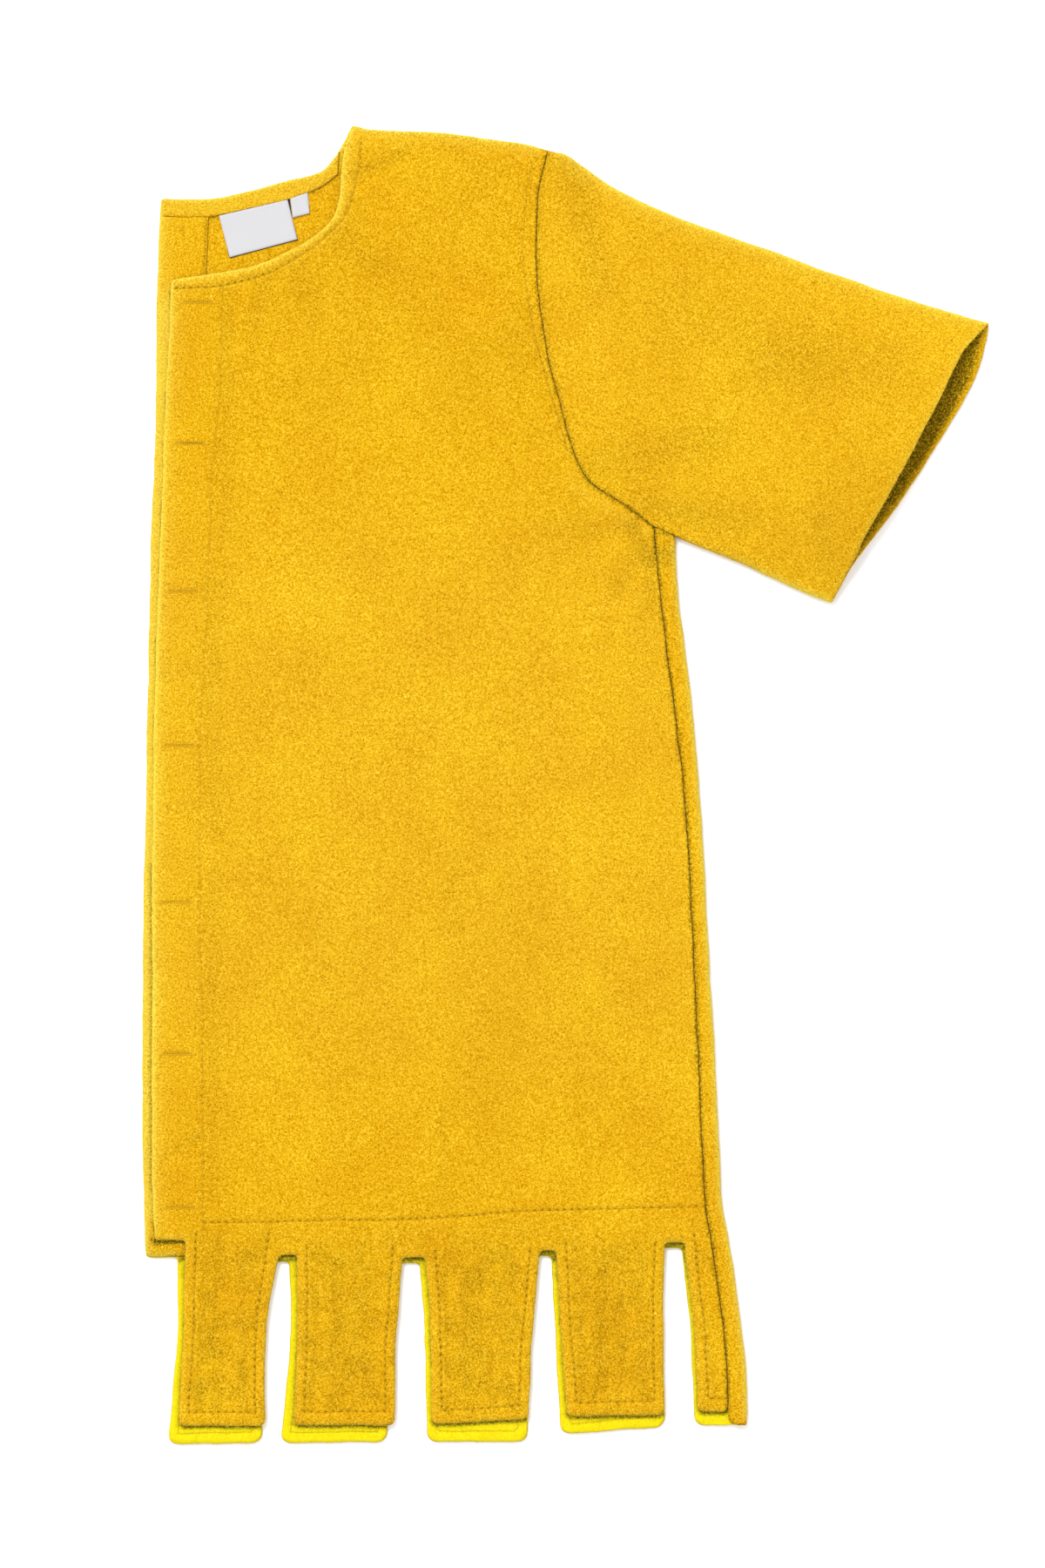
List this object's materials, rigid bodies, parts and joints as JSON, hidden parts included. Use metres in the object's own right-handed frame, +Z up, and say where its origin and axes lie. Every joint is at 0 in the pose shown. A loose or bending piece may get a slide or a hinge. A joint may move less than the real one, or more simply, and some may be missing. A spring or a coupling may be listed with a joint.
{
  "type": "medieval surcoat half, tabbed, laid flat",
  "caption": "One half of a button-together tabbed wool surcoat, laid flat on its back, with a short open sleeve, a faced centre edge and square-cut hem tabs.",
  "frame": {"origin": "bottom centre of the box around the part, on the surface the cloth lies on", "axes": "+X towards the side seam and the sleeve, +Y towards the neck, +Z up from the surface to the front of the garment"},
  "size_m": [0.5158, 0.8029, 0.0215],
  "materials": {
    "wool_cloth": "felted melange wool",
    "placket_cloth": "brushed twill",
    "hem_facing_cloth": "smooth plain weave",
    "label_ribbon": "satin woven ribbon"
  },
  "bodies": {
    "root": {"front_panel": "wool_cloth", "back_panel": "wool_cloth", "sleeve": "wool_cloth", "back_neck_band": "wool_cloth", "back_placket_facing": "placket_cloth", "back_hem_facing": "hem_facing_cloth", "label": "label_ribbon", "size_tag": "label_ribbon"}
  },
  "joints": []
}
